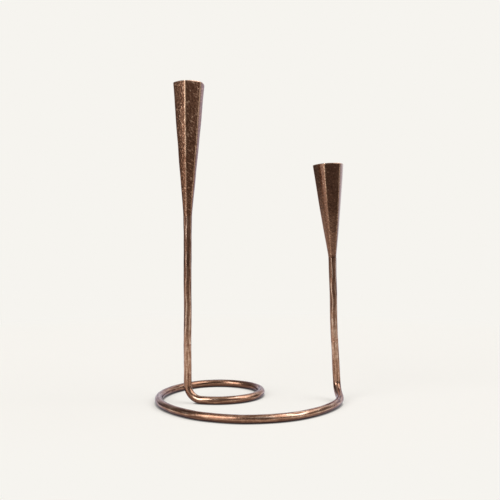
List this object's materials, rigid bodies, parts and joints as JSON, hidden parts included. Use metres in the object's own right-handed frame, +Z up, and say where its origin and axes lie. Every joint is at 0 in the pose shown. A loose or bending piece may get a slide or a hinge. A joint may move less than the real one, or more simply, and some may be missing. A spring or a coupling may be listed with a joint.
{
  "type": "candelabra",
  "caption": "Freestanding candelabra: a hammered bar coiled flat as the base turns up into a taller and a shorter stem, each with a slender tapered hexagonal candle cup.",
  "frame": {"origin": "on the table under the middle of the object's box", "axes": "+Z up along the stems, +Y away from the picture's viewer, +X to the viewer's right, with the tall stem on the left"},
  "size_m": [0.199, 0.1796, 0.3334],
  "materials": {
    "hammered_bar": "hammered steel bar with a waxed antique copper plating, worn bright on the ridges",
    "peened_cup": "finely peened sheet with the same dark antique copper plating, worn bright on the corners and rim",
    "weld_metal": "weld dressed flush and plated over",
    "braze_metal": "as flowed",
    "dowel_steel": "cold drawn"
  },
  "bodies": {
    "root": {"base_spiral": "hammered_bar", "tall_stem": "hammered_bar", "short_stem": "hammered_bar", "tall_stem_dowel": "dowel_steel", "short_stem_dowel": "dowel_steel", "tall_stem_weld": "weld_metal", "short_stem_weld": "weld_metal", "tall_cup": "peened_cup", "short_cup": "peened_cup", "tall_cup_braze": "braze_metal", "short_cup_braze": "braze_metal"}
  },
  "joints": []
}
